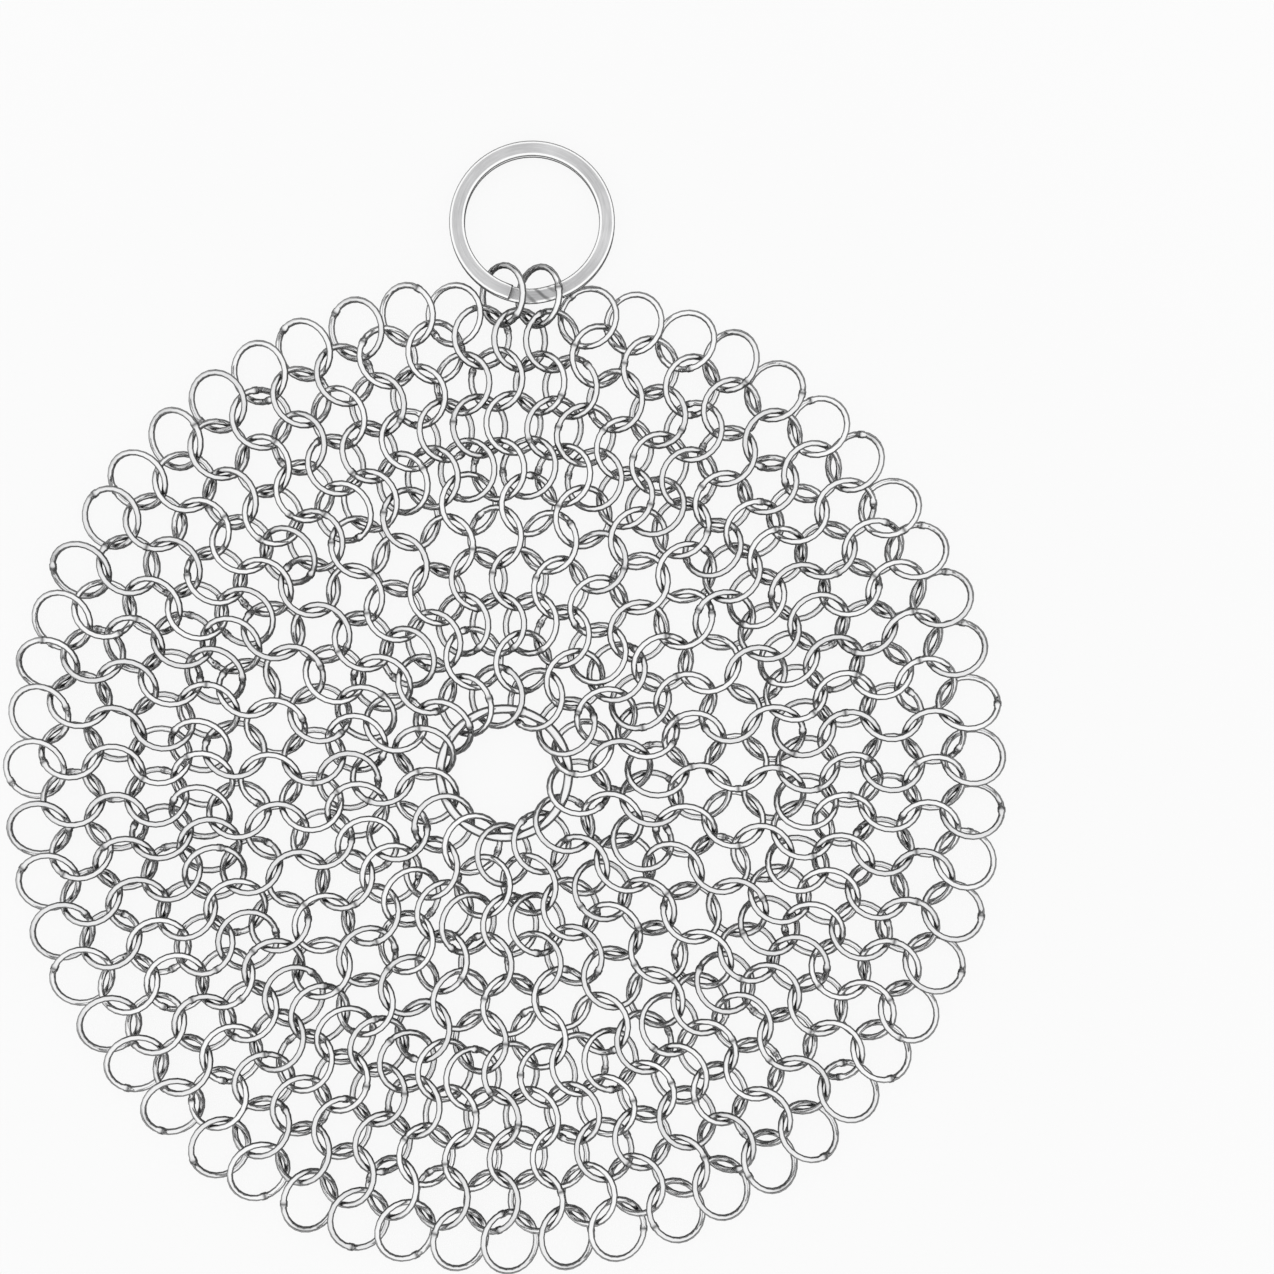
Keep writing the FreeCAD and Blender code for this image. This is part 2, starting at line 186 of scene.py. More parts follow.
class SteelColours(bpy.types.PropertyGroup):
    """Colours of the steel, with the painted shade and painted highlight put on it."""

    # Lightest tone of the round wire, and also the painted highlight along the split ring's rounded
    # edges
    wire_bright_and_highlight: bpy.props.FloatVectorProperty(
        name="Wire, bright", description="Lightest tone of the round wire",
        default=(0.97, 0.97, 0.97), size=3, min=0, max=1, subtype="COLOR")
    wire_dull: bpy.props.FloatVectorProperty(
        name="Wire, dull", description="Darkest tone of the round wire",
        default=(0.72, 0.72, 0.725), size=3, min=0, max=1, subtype="COLOR")
    # Painted shade: this dark tone stands in for shade and dark reflections on the round wire's
    # sides and where rings cross, and on the split ring's walls, cut ends and creases
    painted_shade: bpy.props.FloatVectorProperty(
        name="Wire, sides", description="Tone of the sides of the wire, which nothing rubs",
        default=(0.11, 0.11, 0.11), size=3, min=0, max=1, subtype="COLOR")
    weld: bpy.props.FloatVectorProperty(
        name="Weld", description="Tone of the welds",
        default=(0.07, 0.07, 0.072), size=3, min=0, max=1, subtype="COLOR")
    flat_bright: bpy.props.FloatVectorProperty(
        name="Flat wire, bright", description="Lightest tone of the split ring's flat wire",
        default=(0.74, 0.74, 0.745), size=3, min=0, max=1, subtype="COLOR")
    flat_dull: bpy.props.FloatVectorProperty(
        name="Flat wire, dull", description="Darkest tone of the split ring's flat wire",
        default=(0.53, 0.53, 0.535), size=3, min=0, max=1, subtype="COLOR")


class StageSizes(bpy.types.PropertyGroup):
    """The floor, the light and the picture."""

    floor_size: bpy.props.FloatProperty(
        name="Floor", description="Width of the floor",
        default=6.0, min=0.1, unit="LENGTH", subtype="DISTANCE")
    floor_drop: bpy.props.FloatProperty(
        name="Floor drop", description="How far the floor lies below the wire, clear of the welds",
        default=0.00012, min=0.0, unit="LENGTH", subtype="DISTANCE")
    floor_colour: bpy.props.FloatVectorProperty(
        name="Floor colour", description="Colour of the floor",
        default=(0.75, 0.75, 0.75), size=3, min=0, max=1, subtype="COLOR")
    soft_level: bpy.props.FloatProperty(
        name="Soft level", description="Level of the soft light from all round",
        default=0.72, min=0.0)
    lamp_place: bpy.props.FloatVectorProperty(
        name="Lamp place", description="Where the overhead lamp hangs",
        default=(-0.1, 0.15, 1.6), size=3, unit="LENGTH", subtype="TRANSLATION")
    lamp_size: bpy.props.FloatProperty(
        name="Lamp size", description="Width of the overhead lamp",
        default=1.2, min=0.01, unit="LENGTH", subtype="DISTANCE")
    lamp_power: bpy.props.FloatProperty(
        name="Lamp power", description="Power of the overhead lamp",
        default=4.4, min=0.0, unit="POWER")
    picture_width: bpy.props.FloatProperty(
        name="Picture width", description="Width of the picture at the mail's middle height",
        default=0.2133, min=0.01, unit="LENGTH", subtype="DISTANCE")
    camera_height: bpy.props.FloatProperty(
        name="Camera height", description="Height of the camera over the mail",
        default=0.6, min=0.1, unit="LENGTH", subtype="DISTANCE")
    camera_roll: bpy.props.FloatProperty(
        name="Camera roll", description="How far the mail looks turned clockwise in the picture",
        default=math.radians(2.0), subtype="ANGLE")
    disc_point: bpy.props.FloatVectorProperty(
        name="Disc point", description="Where the middle of the mail is in the picture, in points",
        default=(505, 772.5), size=2)


SETTINGS = {
    "scrubber_mail": MailRingSizes,
    "scrubber_centre": CentreRingSizes,
    "scrubber_split": SplitRingSizes,
    "scrubber_steel": SteelColours,
    "scrubber_stage": StageSizes,
}


# Where the CAD rings lie


def node_solids(node):
    """The vertices of each separate solid of a CAD node."""
    mesh = frame["nodes"][node].data
    points = np.empty(len(mesh.vertices) * 3, np.float32)
    mesh.vertices.foreach_get("co", points)
    points = points.reshape(-1, 3).astype(float)
    corners = np.empty(len(mesh.loops), np.int32)
    mesh.loops.foreach_get("vertex_index", corners)
    corners = corners.reshape(-1, 3)
    # A solid ends at a vertex that no triangle joins to a later one
    crossing = np.zeros(len(points), int)
    np.add.at(crossing, corners.min(axis=1), 1)
    np.add.at(crossing, corners.max(axis=1), -1)
    ends = np.flatnonzero(np.cumsum(crossing) == 0) + 1
    return np.split(points, ends[:-1])


def ring_places(node):
    """The middle and the axis of each ring of a CAD node."""
    places = []
    for points in node_solids(node):
        middle = (points.min(axis=0) + points.max(axis=0)) / 2
        away = points - middle
        # A ring's points spread least along its axis
        axis = np.linalg.eigh(away.T @ away)[1][:, 0]
        if axis[2] < 0:
            axis = -axis
        places.append((Vector(middle), Vector(axis)))
    return places


def ring_matrix(place, turn):
    """Puts a ring that lies flat at the origin in its place, after a turn about its axis."""
    middle, axis = place
    level = axis.to_track_quat("Z", "Y").to_matrix().to_4x4()
    return Matrix.Translation(middle) @ level @ Matrix.Rotation(turn, 4, "Z")


def distance_to_ring(point, place, mean_radius):
    """Distance from a point to the line along a ring's wire."""
    middle, axis = place
    away = point - middle
    height = away.dot(axis)
    return math.hypot((away - axis * height).length - mean_radius, height)


def crossing_values(points, others, mean_radius, wire, reach):
    """Where painted shade goes: 1 at points that touch another ring's wire, falling to 0 at a reach
    from it.
    """
    gaps = np.full(len(points), reach)
    for middle, axis in others:
        away = points - np.array(middle)
        height = away @ np.array(axis)
        flat = np.sqrt(np.maximum((away ** 2).sum(axis=1) - height ** 2, 0))
        gaps = np.minimum(gaps, np.hypot(flat - mean_radius, height) - wire / 2)
    return np.clip(1 - gaps / reach, 0, 1)


def free_turn(place, others, mean_radius, room, draw):
    """A turn that puts the weld of a ring where no other ring's wire is near."""
    best_turn = 0.0
    best_room = -1.0
    for attempt in range(WELD_TRIES):
        turn = draw.uniform(-math.pi, math.pi)
        weld = ring_matrix(place, turn) @ Vector((mean_radius, 0, 0))
        nearest = min(distance_to_ring(weld, other, mean_radius) for other in others)
        if nearest > best_room:
            best_turn = turn
            best_room = nearest
        if nearest > room:
            break
    return best_turn


# Modelling helpers


def deselect():
    """Leave no object selected, so that an operator acts on the new piece alone."""
    if bpy.context.object and bpy.context.object.mode != "OBJECT":
        bpy.ops.object.mode_set(mode="OBJECT")
    bpy.ops.object.select_all(action="DESELECT")


def choose(*pieces):
    """Select these pieces, the first as the active one."""
    deselect()
    for piece in pieces:
        piece.select_set(True)
    bpy.context.view_layer.objects.active = pieces[0]


def join(name, pieces):
    """Join pieces into one object."""
    choose(*pieces)
    if len(pieces) > 1:
        bpy.ops.object.join()
    piece = bpy.context.object
    piece.name = name
    piece.data.name = name
    return piece


def select_where(piece, test):
    """Select the points of a piece that pass a test, and nothing else."""
    choose(piece)
    bpy.ops.object.mode_set(mode="EDIT")
    bpy.ops.mesh.select_mode(type="VERT")
    bpy.ops.mesh.select_all(action="DESELECT")
    bpy.ops.object.mode_set(mode="OBJECT")
    for vertex in piece.data.vertices:
        vertex.select = test(vertex.co)


def point_values(piece, name, values):
    """Give a piece a number for each of its points."""
    attribute = piece.data.attributes.get(name)
    if attribute is None:
        attribute = piece.data.attributes.new(name, "FLOAT", "POINT")
    attribute.data.foreach_set("value", np.asarray(values, np.float32))


def finish_piece(piece, node, material):
    """Give a piece its material, and let it stand for a CAD node."""
    piece.data.materials.clear()
    piece.data.materials.append(material)
    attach(piece, BODY_OF_NODE[node])
    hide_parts(node)


def round_wire_ring(name, mean_radius, wire, around, weld_length, weld_thickness, tint):
    """A ring of round wire that lies flat at the origin, with its weld swollen on +X."""
    deselect()
    bpy.ops.mesh.primitive_torus_add(
        major_segments=around, minor_segments=WIRE_SIDES,
        major_radius=mean_radius, minor_radius=wire / 2)
    ring = bpy.context.object
    ring.name = name
    half_weld = weld_length / 2
    select_where(ring, lambda point: point.x > 0 and abs(point.y) < half_weld)
    bpy.ops.object.mode_set(mode="EDIT")
    bpy.ops.mesh.bevel(offset=half_weld, segments=WELD_SECTIONS, affect="EDGES")
    bpy.ops.object.mode_set(mode="OBJECT")
    select_where(ring, lambda point: point.x > 0 and abs(point.y) < half_weld * WELD_TOP_SHARE)
    bpy.ops.object.mode_set(mode="EDIT")
    swell = weld_thickness / wire
    bpy.ops.transform.resize(value=(swell, swell, swell), center_override=(mean_radius, 0, 0))
    bpy.ops.object.mode_set(mode="OBJECT")
    bpy.ops.object.shade_smooth()
    angles = [math.atan2(vertex.co.y, vertex.co.x) for vertex in ring.data.vertices]
    point_values(ring, "weld", [math.exp(-(angle / tint) ** 2) for angle in angles])
    return ring


def copies_in_place(name, model, places, turns, near, draw):
    """Copies of a ring, each with its own mesh, tone and painted shade where its neighbours cross
    it, joined in one.
    """
    sizes = bpy.context.scene.scrubber_mail
    mean_radius = (sizes.ring_diameter - sizes.wire) / 2
    copies = []
    for place, turn, others in zip(places, turns, near):
        copy = model.copy()
        copy.data = model.data.copy()
        copy.data.transform(ring_matrix(place, turn))
        bpy.context.collection.objects.link(copy)
        vertices = copy.data.vertices
        points = np.array([vertex.co for vertex in vertices])
        point_values(copy, "tone", [draw.random()] * len(points))
        # The normals, from which the wire's sides get painted shade
        facing = copy.data.attributes.new("facing", "FLOAT_VECTOR", "POINT")
        facing.data.foreach_set("vector", [part for vertex in vertices for part in vertex.normal])
        # Painted shade where other rings cross this one
        point_values(copy, "crossing", crossing_values(
            points, others, mean_radius, sizes.wire, sizes.crossing))
        copies.append(copy)
    return join(name, copies)


# Materials


def add_node(tree, kind, **settings):
    """Add a shader node after those that are there, and set its properties."""
    column, row = divmod(len(tree.nodes), NODES_PER_COLUMN)
    node = tree.nodes.new(kind)
    node.location = (NODE_STEP * column, -NODE_STEP * row)
    for name, value in settings.items():
        setattr(node, name, value)
    return node


def link(tree, source, target):
    """Join an output to an input."""
    tree.links.new(source, target)


def feed(tree, value, target):
    """Join an output to an input, or set the input to a plain value."""
    if isinstance(value, bpy.types.NodeSocket):
        link(tree, value, target)
    else:
        target.default_value = value


def mix_colour(tree, factor, first, second):
    """Mix two colours, each a plain one or an output."""
    node = add_node(tree, "ShaderNodeMix", data_type="RGBA")
    link(tree, factor, node.inputs["Factor"])
    targets = [each for each in node.inputs if each.type == "RGBA"]
    for value, target in zip((first, second), targets):
        plain = not isinstance(value, bpy.types.NodeSocket)
        feed(tree, (*value, 1.0) if plain else value, target)
    return [each for each in node.outputs if each.type == "RGBA"][0]


def ramp(tree, value, low, high, at_low=0.0, at_high=1.0):
    """Map a value from one range to another, held at its ends."""
    node = add_node(tree, "ShaderNodeMapRange", clamp=True)
    link(tree, value, node.inputs["Value"])
    node.inputs["From Min"].default_value = low
    node.inputs["From Max"].default_value = high
    node.inputs["To Min"].default_value = at_low
    node.inputs["To Max"].default_value = at_high
    return node.outputs["Result"]


def combine(tree, operation, *values):
    """Join values by a sum, product or the like."""
    node = add_node(tree, "ShaderNodeMath", operation=operation)
    for value, target in zip(values, node.inputs):
        feed(tree, value, target)
    return node.outputs[0]


def scaled(tree, value, by):
    """A value times a number."""
    return combine(tree, "MULTIPLY", value, by)


def noise(tree, place, scale, detail=2.0, roughness=0.5):
    """A noise over a place, about from 0 to 1."""
    node = add_node(tree, "ShaderNodeTexNoise")
    link(tree, place, node.inputs["Vector"])
    feed(tree, scale, node.inputs["Scale"])
    node.inputs["Detail"].default_value = detail
    node.inputs["Roughness"].default_value = roughness
    return node.outputs["Fac"]


def mark(tree, name):
    """The number that a piece has for each of its points under a name."""
    return add_node(tree, "ShaderNodeAttribute", attribute_name=name).outputs["Fac"]


def drawn_steel_group():
    """Marks of drawing along a wire, cloudy wear and small scuffs."""
    group = bpy.data.node_groups.get("drawn_steel")
    if group:
        return group
    group = bpy.data.node_groups.new("drawn_steel", "ShaderNodeTree")
    for name, way, kind in (
        ("Along", "INPUT", "NodeSocketVector"),
        ("Place", "INPUT", "NodeSocketVector"),
        ("Line scale", "INPUT", "NodeSocketFloat"),
        ("Cloud scale", "INPUT", "NodeSocketFloat"),
        ("Lines", "OUTPUT", "NodeSocketFloat"),
        ("Clouds", "OUTPUT", "NodeSocketFloat"),
        ("Scuffs", "OUTPUT", "NodeSocketFloat"),
    ):
        group.interface.new_socket(name, in_out=way, socket_type=kind)
    given = add_node(group, "NodeGroupInput").outputs
    wanted = add_node(group, "NodeGroupOutput").inputs
    lines = noise(group, given["Along"], given["Line scale"], detail=3.0, roughness=0.65)
    clouds = noise(group, given["Place"], given["Cloud scale"])
    finer = scaled(group, given["Cloud scale"], by=7.0)
    scuffs = noise(group, given["Place"], finer, detail=5.0, roughness=0.7)
    link(group, lines, wanted["Lines"])
    link(group, clouds, wanted["Clouds"])
    link(group, ramp(group, scuffs, low=0.58, high=0.72), wanted["Scuffs"])
    return group


def along_wire(tree):
    """The UV map of a piece, which runs along its wire and round it."""
    return add_node(tree, "ShaderNodeUVMap", uv_map="UVMap").outputs["UV"]


def steel_base(name, stretch, line_scale, cloud_scale):
    """A steel material's first nodes: its shader and the drawn marks along its wire."""
    material = bpy.data.materials.new(name)
    material.use_nodes = True
    tree = material.node_tree
    shader = tree.nodes["Principled BSDF"]
    shader.inputs["Metallic"].default_value = 1.0
    stretched = add_node(tree, "ShaderNodeMapping")
    stretched.inputs["Scale"].default_value = stretch
    link(tree, along_wire(tree), stretched.inputs["Vector"])
    place = add_node(tree, "ShaderNodeTexCoord")
    marks = add_node(tree, "ShaderNodeGroup", node_tree=drawn_steel_group())
    link(tree, stretched.outputs["Vector"], marks.inputs["Along"])
    link(tree, place.outputs["Object"], marks.inputs["Place"])
    marks.inputs["Line scale"].default_value = line_scale
    marks.inputs["Cloud scale"].default_value = cloud_scale
    return material, tree, shader, marks.outputs


def bump(tree, shader, height, strength, distance):
    """Raise a surface by a height."""
    node = add_node(tree, "ShaderNodeBump")
    node.inputs["Strength"].default_value = strength
    node.inputs["Distance"].default_value = distance
    link(tree, height, node.inputs["Height"])
    link(tree, node.outputs["Normal"], shader.inputs["Normal"])


def unshaded_faces(tree):
    """1 on the top and underside of the wire, and 0 on its sides, where shade is painted."""
    facing = add_node(tree, "ShaderNodeAttribute", attribute_name="facing")
    straight = add_node(tree, "ShaderNodeVectorMath", operation="NORMALIZE")
    link(tree, facing.outputs["Vector"], straight.inputs[0])
    parts = add_node(tree, "ShaderNodeSeparateXYZ")
    link(tree, straight.outputs["Vector"], parts.inputs["Vector"])
    upward = combine(tree, "ABSOLUTE", parts.outputs["Z"])
    return ramp(tree, upward, low=0.42, high=0.86)


def round_wire_material():
    """Drawn round wire, dull at its welds, with painted shade on its sides and where other rings
    cross it, which leaves it bright on top and underneath.
    """
    material = bpy.data.materials.get("round_wire_steel")
    if material:
        return material
    colours = bpy.context.scene.scrubber_steel
    material, tree, shader, marks = steel_base(
        "round_wire_steel", stretch=(1, 2, 1), line_scale=14.0, cloud_scale=220.0)
    weld = mark(tree, "weld")
    shade = combine(
        tree, "ADD", scaled(tree, marks["Clouds"], by=0.35), scaled(tree, marks["Lines"], by=0.4))
    shade = combine(tree, "ADD", shade, scaled(tree, mark(tree, "tone"), by=0.35))
    light = ramp(tree, shade, low=0.25, high=0.85)
    colour = mix_colour(tree, light, colours.wire_dull, colours.wire_bright_and_highlight)
    colour = mix_colour(tree, scaled(tree, weld, by=0.85), colour, colours.weld)
    # Painted shade where another ring crosses the wire
    clear = ramp(tree, mark(tree, "crossing"), low=0.3, high=0.9, at_low=1.0, at_high=0.08)
    unshaded = combine(tree, "MULTIPLY", unshaded_faces(tree), clear)
    # Painted shade on the wire's sides and where other rings cross it, in the dark painted-shade
    # tone
    colour = mix_colour(tree, unshaded, colours.painted_shade, colour)
    link(tree, colour, shader.inputs["Base Color"])
    rough = ramp(tree, shade, low=0.25, high=0.85, at_low=0.19, at_high=0.10)
    rough = combine(tree, "ADD", rough, scaled(tree, marks["Scuffs"], by=0.12))
    rough = combine(tree, "ADD", rough, scaled(tree, weld, by=0.20))
    link(tree, rough, shader.inputs["Roughness"])
    bump(tree, shader, marks["Lines"], strength=0.2, distance=0.00002)
    return material


def flat_wire_material():
    """Satin flat wire, brushed along its length, with a painted highlight along its rounded edges
    and painted shade on its walls, cut ends and creases.
    """
    material = bpy.data.materials.get("flat_wire_steel")
    if material:
        return material
    colours = bpy.context.scene.scrubber_steel
    material, tree, shader, marks = steel_base(
        "flat_wire_steel", stretch=(2, 60, 1), line_scale=1.0, cloud_scale=160.0)
    edge = mark(tree, "edge")
    shade = combine(
        tree, "ADD", scaled(tree, marks["Clouds"], by=0.45), scaled(tree, marks["Lines"], by=0.55))
    light = ramp(tree, shade, low=0.34, high=0.66)
    colour = mix_colour(tree, light, colours.flat_dull, colours.flat_bright)
    # Painted highlight along the flat wire's rounded edges
    edge_highlight = ramp(tree, edge, low=0.0, high=0.25)
    colour = mix_colour(tree, edge_highlight, colour, colours.wire_bright_and_highlight)
    # Painted shade in creases where the wire is bent to climb to its second turn
    bands = add_node(tree, "ShaderNodeTexWave", wave_type="BANDS", bands_direction="DIAGONAL")
    bands.inputs["Scale"].default_value = 2.4
    bands.inputs["Distortion"].default_value = 1.0
    link(tree, along_wire(tree), bands.inputs["Vector"])
    crease_shade = ramp(tree, bands.outputs["Fac"], low=0.6, high=1.0, at_high=0.7)
    crease_shade = combine(tree, "MULTIPLY", crease_shade, mark(tree, "climb"))
    colour = mix_colour(tree, crease_shade, colour, colours.painted_shade)
    # Painted shade on the flat wire's walls, and past their mark on its cut ends
    wall_shade = ramp(tree, edge, low=0.65, high=0.95)
    colour = mix_colour(tree, wall_shade, colour, colours.painted_shade)
    link(tree, colour, shader.inputs["Base Color"])
    rough = ramp(tree, shade, low=0.34, high=0.66, at_low=0.62, at_high=0.52)
    rough = combine(tree, "ADD", rough, scaled(tree, marks["Scuffs"], by=0.10))
    rough = combine(tree, "ADD", rough, scaled(tree, edge_highlight, by=-0.32))
    link(tree, rough, shader.inputs["Roughness"])
    bump(tree, shader, marks["Lines"], strength=0.3, distance=0.00003)
    return material


def floor_material(colour):
    """Plain pale floor, white to the camera, which keeps a faint shadow of the object."""
    material = bpy.data.materials.new("pale_floor")
    material.use_nodes = True
    tree = material.node_tree
    shader = tree.nodes["Principled BSDF"]
    shader.inputs["Roughness"].default_value = 0.9
    shader.inputs["Specular IOR Level"].default_value = 0.1
    place = add_node(tree, "ShaderNodeTexCoord").outputs["Object"]
    light = ramp(tree, noise(tree, place, scale=3.0), low=0.3, high=0.7)
    paler = [min(1.0, part * FLOOR_GRAIN) for part in colour]
    link(tree, mix_colour(tree, light, colour, paler), shader.inputs["Base Color"])
    # The camera sees the white world through the floor, and rows that roll below it still show
    clear = add_node(tree, "ShaderNodeBsdfTransparent")
    rays = add_node(tree, "ShaderNodeLightPath")
    side = add_node(tree, "ShaderNodeNewGeometry")
    away = add_node(tree, "ShaderNodeVectorMath", operation="LENGTH")
    link(tree, place, away.inputs[0])
    faded = ramp(tree, away.outputs["Value"], low=0.11, high=0.4, at_low=0.90)
    share = combine(tree, "MULTIPLY", rays.outputs["Is Camera Ray"], faded)
    share = combine(tree, "MAXIMUM", share, side.outputs["Backfacing"])
    both = add_node(tree, "ShaderNodeMixShader")
    link(tree, share, both.inputs[0])
    link(tree, shader.outputs[0], both.inputs[1])
    link(tree, clear.outputs[0], both.inputs[2])
    link(tree, both.outputs[0], tree.nodes["Material Output"].inputs["Surface"])
    return material


# Operators


class SCRUBBER_OT_mail_rings(bpy.types.Operator):
    """Model the small rings of the mail, row by row, and the two link rings"""

    bl_idname = "scrubber.mail_rings"
    bl_label = "Mail rings"

    def execute(self, context):
        sizes = context.scene.scrubber_mail
        mean_radius = (sizes.ring_diameter - sizes.wire) / 2
        reach = NEAR_DIAMETERS * sizes.ring_diameter
        draw = random.Random(PIECE_SEED)
        larger = ("centre_ring", "hang_ring")
        nodes = [node for node in sorted(frame["nodes"]) if node not in larger]
        places = {node: ring_places(node) for node in nodes}
        everywhere = [place for node in nodes for place in places[node]]
        model = round_wire_ring(
            "ring_model", mean_radius, sizes.wire, sizes.around,
            sizes.weld_length, sizes.weld_thickness, sizes.weld_tint)
        for node in nodes:
            near = [
                [other for other in everywhere if 0 < (other[0] - place[0]).length < reach]
                for place in places[node]
            ]
            turns = [
                free_turn(place, others, mean_radius, sizes.weld_room, draw)
                for place, others in zip(places[node], near)
            ]
            in_mail = node.startswith("mail")
            name = node.replace("mail", "rings") if in_mail else node + "_wire"
            piece = copies_in_place(name, model, places[node], turns, near, draw)
            finish_piece(piece, node, round_wire_material())
        bpy.data.objects.remove(model)
        return {"FINISHED"}


class SCRUBBER_OT_centre_ring(bpy.types.Operator):
    """Model the ring of thicker wire at the middle of the mail"""

    bl_idname = "scrubber.centre_ring"
    bl_label = "Centre ring"

    def execute(self, context):
        sizes = context.scene.scrubber_centre
        weld = context.scene.scrubber_mail
        draw = random.Random(PIECE_SEED)
        thicker = sizes.wire / weld.wire
        model = round_wire_ring(
            "centre_model", sizes.mean_diameter / 2, sizes.wire, sizes.around,
            weld.weld_length * thicker, weld.weld_thickness * thicker, weld.weld_tint / 2)
        places = ring_places("centre_ring")
        near = [ring_places("mail_core")]
        piece = copies_in_place("centre_ring_wire", model, places, [CENTRE_WELD_TURN], near, draw)
        finish_piece(piece, "centre_ring", round_wire_material())
        bpy.data.objects.remove(model)
        return {"FINISHED"}


class SCRUBBER_OT_hang_ring(bpy.types.Operator):
    """Model the split ring, two turns of flat wire with rounded edges and a ramp between them"""

    bl_idname = "scrubber.hang_ring"
    bl_label = "Hang ring"

    def execute(self, context):
        sizes = context.scene.scrubber_split
        ring, corners = self.section(sizes)
        level = math.tau - sizes.ramp
        turned = 2 * level + sizes.ramp - sizes.end_short
        steps = round(turned / sizes.step)
        step = turned / steps
        # Without a window, spin goes the other way round
        bpy.ops.object.mode_set(mode="EDIT")
        bpy.ops.mesh.select_all(action="SELECT")
        bpy.ops.mesh.spin(steps=steps, angle=-turned, center=(0, 0, 0), axis=(0, 0, 1))
        bpy.ops.mesh.select_all(action="SELECT")
        bpy.ops.mesh.normals_make_consistent(inside=False)
        bpy.ops.object.mode_set(mode="OBJECT")
        self.lay_map(ring, corners, step, sizes)
        self.mark_edges(ring, corners, steps, sizes)
        self.narrow_ends(ring, corners, steps, step, sizes)
        self.climb(ring, corners, step, level, sizes)
        bpy.ops.object.shade_smooth_by_angle(angle=SMOOTH_ANGLE)
        ring.data.transform(
            Matrix.Translation(sizes.middle)
            @ Matrix.Rotation(-sizes.tilt, 4, "X")
            @ Matrix.Rotation(sizes.ramp_end - math.pi / 2, 4, "Z"))
        finish_piece(ring, "hang_ring", flat_wire_material())
        return {"FINISHED"}

    def section(self, sizes):
        """One section of the flat wire, and the length round it to each of its corners."""
        radius = (sizes.outer_diameter - sizes.width) / 2
        deselect()
        bpy.ops.mesh.primitive_plane_add(
            size=1, location=(radius, 0, 0), rotation=(math.pi / 2, 0, 0))
        ring = bpy.context.object
        ring.name = "hang_ring_wire"
        # The edges are rounded on a narrower section, so that they come out wider than deep
        ring.scale = (sizes.width * sizes.edge / sizes.edge_width, sizes.thickness, 1)
        bpy.ops.object.transform_apply(location=False, rotation=True, scale=True)
        bpy.ops.object.mode_set(mode="EDIT")
        bpy.ops.mesh.select_all(action="SELECT")
        bpy.ops.mesh.bevel(offset=sizes.edge, segments=EDGE_SECTIONS, affect="VERTICES")
        bpy.ops.object.mode_set(mode="OBJECT")
        ring.scale.x = sizes.edge_width / sizes.edge
        bpy.ops.object.transform_apply(location=True, rotation=True, scale=True)
        corners = {}
        length = 0.0
        order = list(ring.data.polygons[0].vertices)
        for here, after in zip(order, order[1:] + order[:1]):
            corners[here] = length
            length += (ring.data.vertices[after].co - ring.data.vertices[here].co).length
        return ring, corners

    def lay_map(self, ring, corners, step, sizes):
        """Lay the UV map along the wire and round its section."""
        radius = sizes.outer_diameter / 2
        half_round = sizes.width + sizes.thickness
        layer = ring.data.uv_layers["UVMap"].data
        for face in ring.data.polygons:
            lengths = [corners[index % len(corners)] for index in face.vertices]
            # A face that closes the section goes on past its whole length
            closes = len(lengths) == 4 and max(lengths) - min(lengths) > half_round
            for loop, index, length in zip(face.loop_indices, face.vertices, lengths):
                if closes and length < half_round:
                    length += 2 * half_round
                along = index // len(corners) * step * radius
                layer[loop].uv = (along * UV_SCALE, length * UV_SCALE)

    def mark_edges(self, ring, corners, steps, sizes):
        """Mark the flats with 0, the two walls with 1, and the two cut ends past 1."""
        flat = sizes.width / 2 - sizes.edge_width
        middle = (sizes.outer_diameter - sizes.width) / 2
        edges = [
            min(1.0, max(0.0, abs(math.hypot(*vertex.co.xy) - middle) - flat) / sizes.edge_width)
            for vertex in ring.data.vertices
        ]
        # The cut ends are marked far past 1, so that painted shade covers them
        edges[:len(corners)] = edges[steps * len(corners):] = [CUT_SHADE] * len(corners)
        point_values(ring, "edge", edges)

    def narrow_ends(self, ring, corners, steps, step, sizes):
        """Move the sections next to the two ends close to them, so that the painted shade at the
        cut is short.
        """
        close = sizes.edge / (sizes.outer_diameter / 2)
        for section, turn in ((1, close - step), (steps - 1, step - close)):
            nearer = Matrix.Rotation(turn, 3, "Z")
            first = section * len(corners)
            for vertex in ring.data.vertices[first:first + len(corners)]:
                vertex.co = nearer @ vertex.co

    def climb(self, ring, corners, step, level, sizes):
        """Lift the second turn off the first by a ramp that starts and ends level."""
        rise = sizes.thickness + sizes.gap
        climbing = []
        for vertex in ring.data.vertices:
            angle = vertex.index // len(corners) * step
            share = min(max((angle - level) / sizes.ramp, 0), 1)
            eased = share * share * (3 - 2 * share)
            vertex.co.z += rise * (eased - 0.5)
            # 1 halfway up the ramp, 0 on both turns
            climbing.append(4 * share * (1 - share))
        point_values(ring, "climb", climbing)


